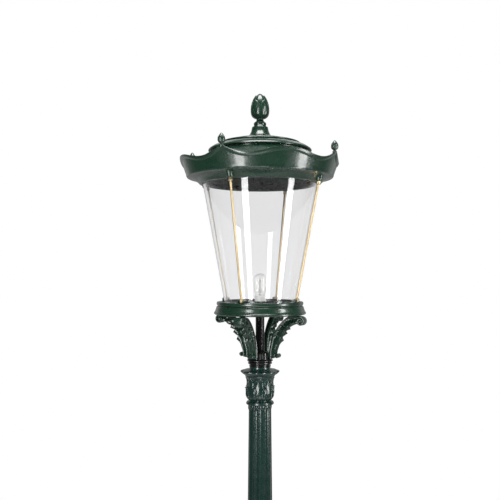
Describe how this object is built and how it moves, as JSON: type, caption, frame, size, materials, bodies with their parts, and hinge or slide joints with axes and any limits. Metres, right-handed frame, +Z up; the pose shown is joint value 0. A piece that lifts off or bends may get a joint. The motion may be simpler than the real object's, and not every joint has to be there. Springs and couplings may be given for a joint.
{
  "type": "street lamp post",
  "caption": "Cast street lamp post with octagonal pedestal, fluted column, leaf capital and scrolled arms under a round glass lantern with a scalloped crown.",
  "frame": {"origin": "centre of the plinth's underside, where it stands on the ground", "axes": "+Z up along the column, -Y the front, +Y the rear with the service door and the lid's hinge"},
  "size_m": [0.5528, 0.5528, 3.838],
  "materials": {
    "post_paint": "gloss dark green paint over cast iron, soft cast undulation, slightly worn edges",
    "lantern_paint": "gloss dark green paint over cast and spun metal",
    "plated_steel": "zinc plated steel",
    "brass": "satin brass, lightly toned",
    "lantern_glass": "clear blown glass, faintly grey",
    "lamp_glass": "clear lamp glass",
    "ceramic": "white glazed ceramic",
    "burner": "frosted quartz burner tube",
    "black_plastic": "moulded matt plastic"
  },
  "bodies": {
    "post": {"bracket_arm_1": "lantern_paint", "bracket_arm_2": "lantern_paint", "bracket_arm_3": "lantern_paint", "bracket_arm_4": "lantern_paint", "capital": "post_paint", "column_sleeve": "post_paint", "crown": "lantern_paint", "door_hinge_pins": "plated_steel", "gallery": "lantern_paint", "glass_cone": "lantern_glass", "lamp_burner": "burner", "lamp_cap": "plated_steel", "lamp_glass": "lamp_glass", "lamp_holder": "ceramic", "lantern_stem": "lantern_paint", "lid_hinge_pin": "plated_steel", "mounting_rail": "plated_steel", "pedestal": "post_paint", "pedestal_cap": "post_paint", "plinth": "post_paint", "rod_foot_nuts": "brass", "rod_head_nuts": "brass", "shaft": "post_paint", "small_finial_1": "lantern_paint", "small_finial_2": "lantern_paint", "small_finial_3": "lantern_paint", "small_finial_4": "lantern_paint", "terminal_box": "black_plastic", "tie_rod_1": "brass", "tie_rod_2": "brass", "tie_rod_3": "brass", "tie_rod_4": "brass"},
    "door": {"pedestal_door": "post_paint", "door_screws": "plated_steel"},
    "lid": {"lid_dome": "lantern_paint", "cone_finial": "lantern_paint"}
  },
  "joints": [
    {"name": "door_swing", "type": "hinge", "parent": "post", "child": "door", "pos_m": [-0.042, 0.14067, 0.45006], "axis": [0, -0.058, 0.9983], "range_deg": [0, 100]},
    {"name": "lid_tilt", "type": "hinge", "parent": "post", "child": "lid", "pos_m": [0, 0.192, 3.638], "axis": [-1, 0, 0], "range_deg": [0, 95]}
  ]
}
